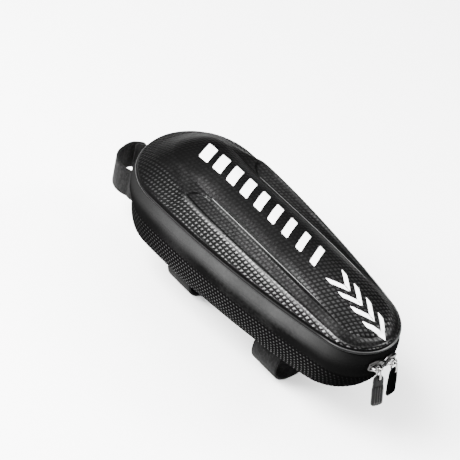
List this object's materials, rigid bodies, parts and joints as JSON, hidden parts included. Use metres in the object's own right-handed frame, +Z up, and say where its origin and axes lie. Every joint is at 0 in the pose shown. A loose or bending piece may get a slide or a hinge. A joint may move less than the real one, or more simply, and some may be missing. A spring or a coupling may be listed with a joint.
{
  "type": "bicycle bag",
  "caption": "Hard-shell top tube bag with a tapered egg-shaped outline, moulded lid, zip band, tray base, hook-and-loop straps and zip pulls.",
  "frame": {"origin": "on the flat underside, over the middle of the top tube that carries the bag, at half the length of the outline", "axes": "+X towards the saddle, +Y to the bicycle's right, +Z up; the bag lies level"},
  "size_m": [0.2877, 0.098, 0.1187],
  "materials": {
    "shell": "moulded, embossed weave, satin",
    "tray": "moulded, embossed weave, satin",
    "band": "smooth satin cloth",
    "trim": "satin",
    "webbing": "loop pile",
    "slider_metal": "polished nickel",
    "pull_rubber": "matte, ribbed"
  },
  "bodies": {
    "bag": {"lid_shell": "shell", "piping": "trim", "zip_band": "band", "base_shell": "tray", "front_strap": "webbing", "mid_strap": "webbing", "mid_keeper": "webbing", "rear_strap": "webbing", "rear_keeper": "webbing", "slider_near": "slider_metal", "slider_far": "slider_metal"},
    "pull_near": {"pull_ring_near": "slider_metal", "pull_tab_near": "pull_rubber"},
    "pull_far": {"pull_ring_far": "slider_metal", "pull_tab_far": "pull_rubber"}
  },
  "joints": [
    {"name": "pull_near_swing", "type": "hinge", "parent": "bag", "child": "pull_near", "pos_m": [0.12389, -0.01037, 0.0379], "axis": [-0.2672, -0.9636, 0], "range_deg": [-12, 145]},
    {"name": "pull_far_swing", "type": "hinge", "parent": "bag", "child": "pull_far", "pos_m": [0.12518, 0.00304, 0.0379], "axis": [0.0785, -0.9969, 0], "range_deg": [-8, 154]}
  ]
}
